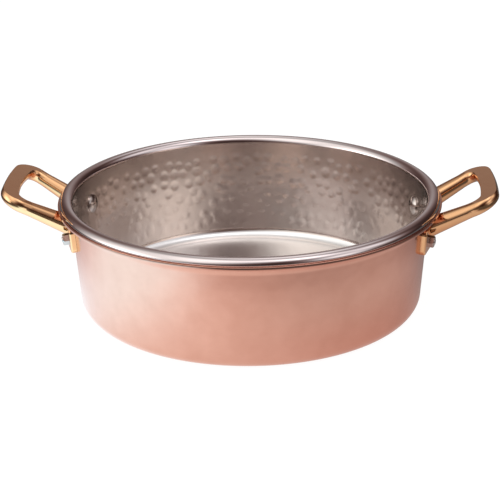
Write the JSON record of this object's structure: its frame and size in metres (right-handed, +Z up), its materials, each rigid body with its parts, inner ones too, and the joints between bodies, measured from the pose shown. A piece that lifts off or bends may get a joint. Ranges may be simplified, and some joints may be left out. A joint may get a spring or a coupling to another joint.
{
  "type": "copper casserole pot",
  "caption": "Low round hammered copper pot with a steel lining rolled over its rim and brass loop handles bolted to opposite sides.",
  "frame": {"origin": "middle of the flat base, on the surface it stands on", "axes": "+Z up, +X from the middle of the pot to the right-hand handle, -Y towards the camera of the picture"},
  "size_m": [0.3342, 0.2606, 0.089],
  "materials": {
    "copper": "satin polished, lightly hammered copper",
    "lining_steel": "hammered wall, circular-brushed floor",
    "cast_brass": "polished casting",
    "fastener_steel": "bright"
  },
  "bodies": {
    "root": {"copper_body": "copper", "steel_lining": "lining_steel", "handle_right": "cast_brass", "handle_left": "cast_brass", "right_rear_bolt": "fastener_steel", "right_rear_nut": "fastener_steel", "right_front_bolt": "fastener_steel", "right_front_nut": "fastener_steel", "left_rear_bolt": "fastener_steel", "left_rear_nut": "fastener_steel", "left_front_bolt": "fastener_steel", "left_front_nut": "fastener_steel"}
  },
  "joints": []
}
